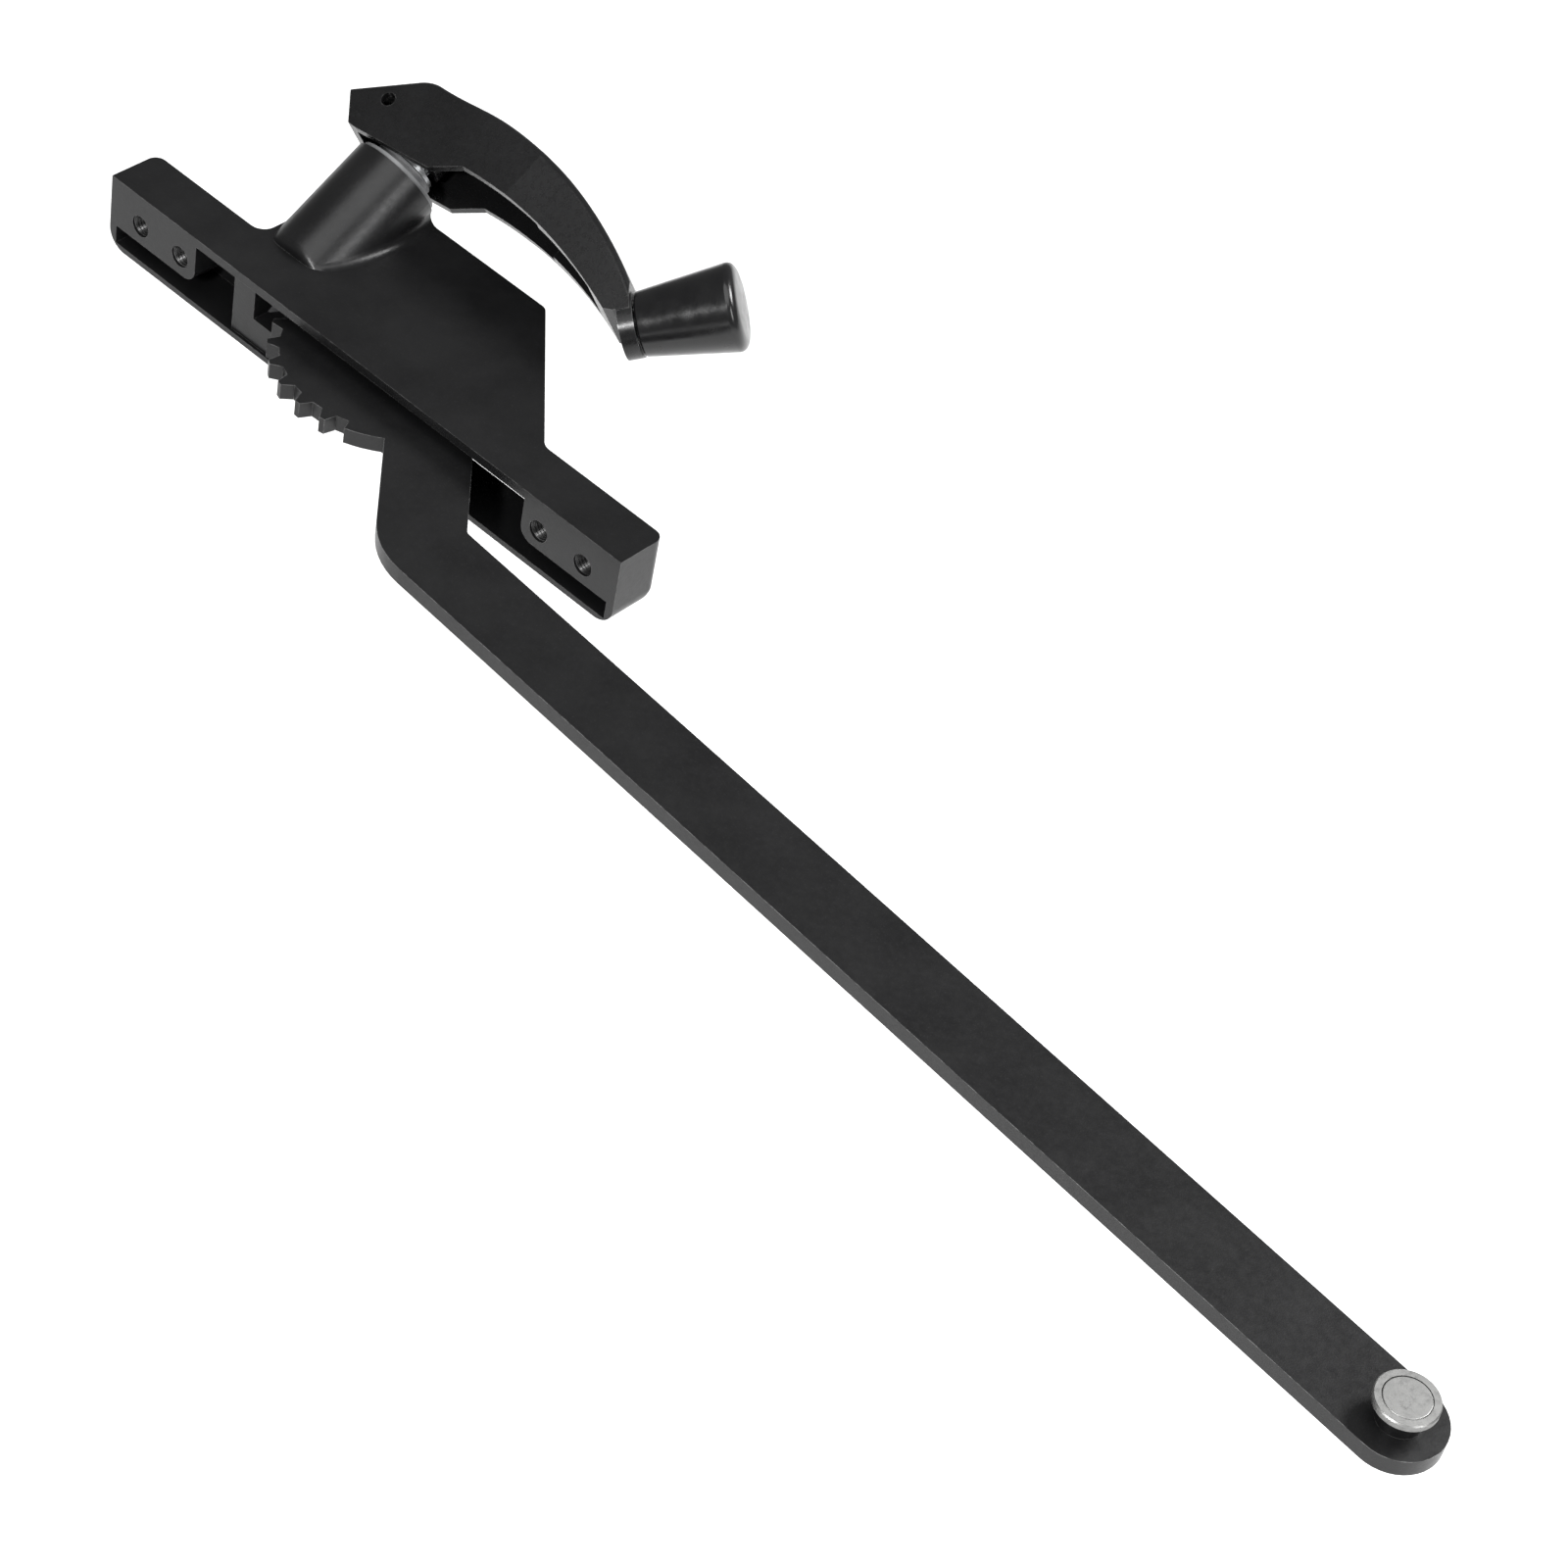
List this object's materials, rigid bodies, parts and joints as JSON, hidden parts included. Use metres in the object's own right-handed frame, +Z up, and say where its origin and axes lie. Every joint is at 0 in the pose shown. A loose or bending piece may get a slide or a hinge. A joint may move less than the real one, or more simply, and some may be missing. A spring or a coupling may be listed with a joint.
{
  "type": "casement_window_operator",
  "caption": "Crank-operated single-arm casement window operator, die-cast in black, with a worm-driven toothed arm and a roller stud.",
  "frame": {"origin": "centre of the row of four tapped mounting holes, on the front mounting face of the bar", "axes": "+X runs along the mounting bar towards the sash stud, +Y goes into the room, +Z is up, towards the crank"},
  "size_m": [0.4088, 0.1237, 0.0461],
  "materials": {
    "black_casting": "satin",
    "black_steel": "satin",
    "zinc_steel": "satin",
    "turned_steel": "satin",
    "bush_grey": "matte",
    "bush_polymer": "matte",
    "black_plastic": "satin"
  },
  "bodies": {
    "housing": {"housing": "black_casting", "cover": "black_steel", "cover_screws": "zinc_steel", "pivot_pin": "zinc_steel", "pivot_washers": "bush_polymer", "worm_bush": "bush_grey", "nose_bush": "bush_polymer"},
    "arm": {"arm": "black_steel", "pivot_bush": "bush_polymer", "stud_pin": "turned_steel", "stud_collar": "black_steel"},
    "roller": {"stud_roller": "turned_steel"},
    "crank": {"worm_shaft": "zinc_steel", "retaining_ring": "zinc_steel", "crank_handle": "black_casting", "knob_pin": "zinc_steel"},
    "knob": {"knob": "black_plastic"}
  },
  "joints": [
    {"name": "arm_swing", "type": "hinge", "parent": "housing", "child": "arm", "pos_m": [-0.0016, 0.0143, 0], "axis": [0, 0, -1], "range_deg": [-4.4, 85]},
    {"name": "crank_turn", "type": "hinge", "parent": "housing", "child": "crank", "pos_m": [-0.0356, 0.04385, 0.0155], "axis": [0, 0.866, 0.5], "range_deg": [-112, 2127]},
    {"name": "knob_spin", "type": "hinge", "parent": "crank", "child": "knob", "pos_m": [0.0358, 0.04887, 0.0184], "axis": [0.6756, 0.6385, 0.3686], "continuous": true},
    {"name": "roller_spin", "type": "hinge", "parent": "arm", "child": "roller", "pos_m": [0.3193, -0.0441, 0.00725], "axis": [0, 0, 1], "continuous": true}
  ],
  "couplings": [
    {"joint": "crank_turn", "follows": "arm_swing", "ratio": 25}
  ]
}
